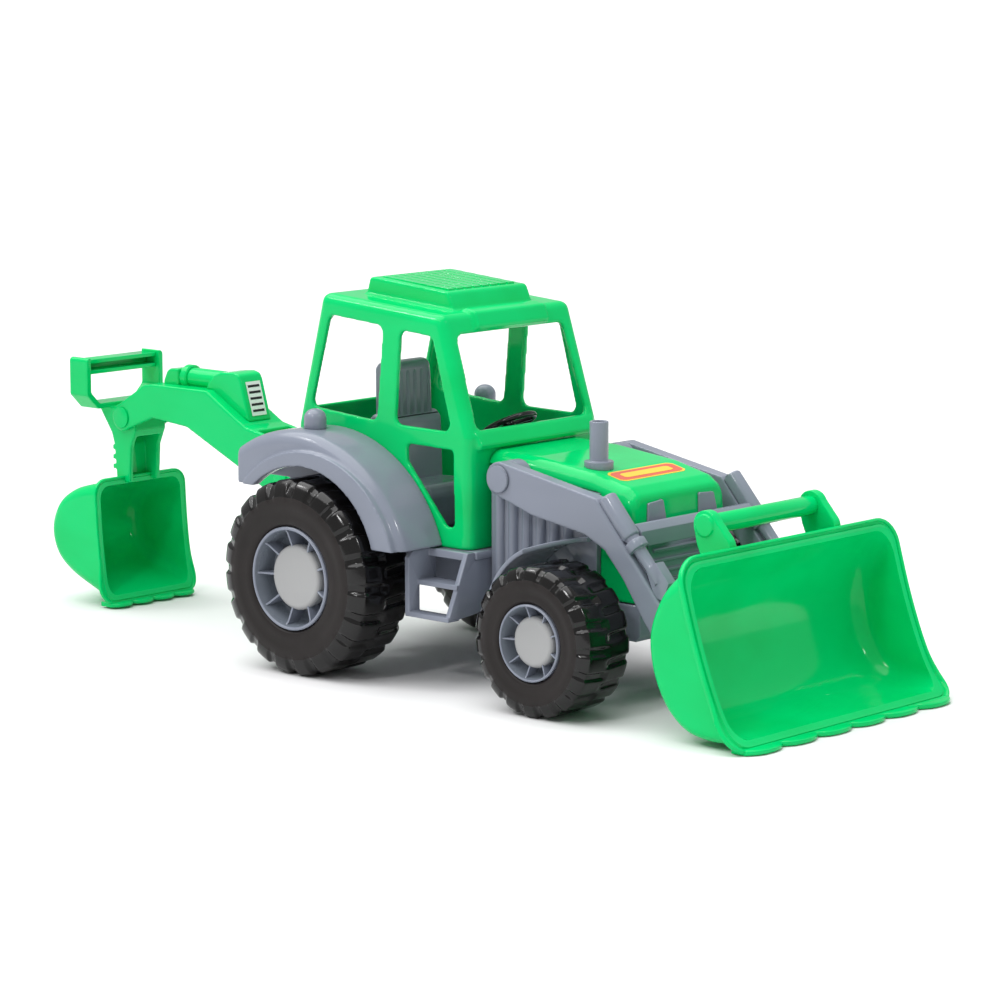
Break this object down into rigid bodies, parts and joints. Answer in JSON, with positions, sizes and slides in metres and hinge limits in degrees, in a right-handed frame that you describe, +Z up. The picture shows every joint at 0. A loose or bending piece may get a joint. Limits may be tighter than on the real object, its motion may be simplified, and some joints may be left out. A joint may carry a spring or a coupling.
{
  "type": "toy backhoe loader",
  "caption": "Moulded plastic toy tractor with an open cab, a hinged front loader with a wide bucket and a swinging, jointed digging arm behind.",
  "frame": {"origin": "on the floor, midway between the rear wheels, straight under the rear axle", "axes": "+X forwards to the front loader, +Y to the driver's left, +Z up"},
  "size_m": [0.5406, 0.1872, 0.198],
  "materials": {
    "green_plastic": "glossy injection-moulded polypropylene, bright green",
    "grey_plastic": "semi-gloss injection-moulded polypropylene, bluish grey",
    "tyre_plastic": "blow-moulded black plastic, glossy tread and satin side walls",
    "black_plastic": "glossy black plastic",
    "steel": "zinc-plated steel"
  },
  "bodies": {
    "tractor": {"chassis": "grey_plastic", "body_screws": "steel", "cab_shell": "green_plastic", "hood": "green_plastic", "nose_grille": "grey_plastic", "exhaust_stack": "grey_plastic", "seat": "grey_plastic", "dashboard": "grey_plastic", "rear_axle": "steel", "front_axle": "steel", "axle_clips": "steel", "rear_hitch": "green_plastic", "swing_pin": "green_plastic", "left_rear_fender": "grey_plastic", "left_marker_light": "grey_plastic", "left_step": "grey_plastic", "left_engine_panel": "grey_plastic", "left_arm_pin": "grey_plastic", "left_mudguard": "grey_plastic", "right_rear_fender": "grey_plastic", "right_marker_light": "grey_plastic", "right_step": "grey_plastic", "right_engine_panel": "grey_plastic", "right_arm_pin": "grey_plastic", "right_mudguard": "grey_plastic"},
    "steering": {"steering_wheel": "black_plastic"},
    "left_rear_wheel": {"left_rear_tyre": "tyre_plastic", "left_rear_rim": "grey_plastic", "left_rear_hub_cap": "grey_plastic"},
    "right_rear_wheel": {"right_rear_tyre": "tyre_plastic", "right_rear_rim": "grey_plastic", "right_rear_hub_cap": "grey_plastic"},
    "left_front_wheel": {"left_front_tyre": "tyre_plastic", "left_front_rim": "grey_plastic", "left_front_hub_cap": "grey_plastic"},
    "right_front_wheel": {"right_front_tyre": "tyre_plastic", "right_front_rim": "grey_plastic", "right_front_hub_cap": "grey_plastic"},
    "loader_frame": {"left_loader_arm": "grey_plastic", "right_loader_arm": "grey_plastic", "loader_crossbar": "grey_plastic", "left_lift_cylinder": "grey_plastic", "right_lift_cylinder": "grey_plastic"},
    "loader_bucket": {"front_bucket": "green_plastic", "bucket_pins": "green_plastic", "left_bucket_bracket": "green_plastic", "right_bucket_bracket": "green_plastic", "bucket_handle_bar": "green_plastic"},
    "backhoe_swivel": {"swivel_block": "green_plastic"},
    "backhoe_boom": {"boom": "green_plastic", "boom_foot_pin": "green_plastic", "dipper_pin": "green_plastic", "boom_cylinder": "green_plastic"},
    "backhoe_dipper": {"dipper": "green_plastic", "dipper_grip": "green_plastic", "rear_bucket": "green_plastic"}
  },
  "joints": [
    {"name": "left_rear_wheel_spin", "type": "hinge", "parent": "tractor", "child": "left_rear_wheel", "pos_m": [0, 0, 0.05], "axis": [0, 1, 0], "continuous": true},
    {"name": "right_rear_wheel_spin", "type": "hinge", "parent": "tractor", "child": "right_rear_wheel", "pos_m": [0, 0, 0.05], "axis": [0, 1, 0], "continuous": true},
    {"name": "left_front_wheel_spin", "type": "hinge", "parent": "tractor", "child": "left_front_wheel", "pos_m": [0.156, 0, 0.0368], "axis": [0, 1, 0], "continuous": true},
    {"name": "right_front_wheel_spin", "type": "hinge", "parent": "tractor", "child": "right_front_wheel", "pos_m": [0.156, 0, 0.0368], "axis": [0, 1, 0], "continuous": true},
    {"name": "steering_turn", "type": "hinge", "parent": "tractor", "child": "steering", "pos_m": [0.07, 0, 0.117], "axis": [-0.4695, 0, 0.8829], "continuous": true},
    {"name": "loader_lift", "type": "hinge", "parent": "tractor", "child": "loader_frame", "pos_m": [0.105, 0, 0.107], "axis": [0, -1, 0], "range_deg": [0, 60]},
    {"name": "bucket_tilt", "type": "hinge", "parent": "loader_frame", "child": "loader_bucket", "pos_m": [0.2135, 0, 0.039], "axis": [0, 1, 0], "range_deg": [-25, 45]},
    {"name": "backhoe_swing", "type": "hinge", "parent": "tractor", "child": "backhoe_swivel", "pos_m": [-0.062, 0, 0.078], "axis": [0, 0, 1], "range_deg": [-60, 60]},
    {"name": "boom_lift", "type": "hinge", "parent": "backhoe_swivel", "child": "backhoe_boom", "pos_m": [-0.084, 0, 0.082], "axis": [0, 1, 0], "range_deg": [0, 35]},
    {"name": "dipper_curl", "type": "hinge", "parent": "backhoe_boom", "child": "backhoe_dipper", "pos_m": [-0.209, 0, 0.105], "axis": [0, 1, 0], "range_deg": [-60, 45]}
  ]
}
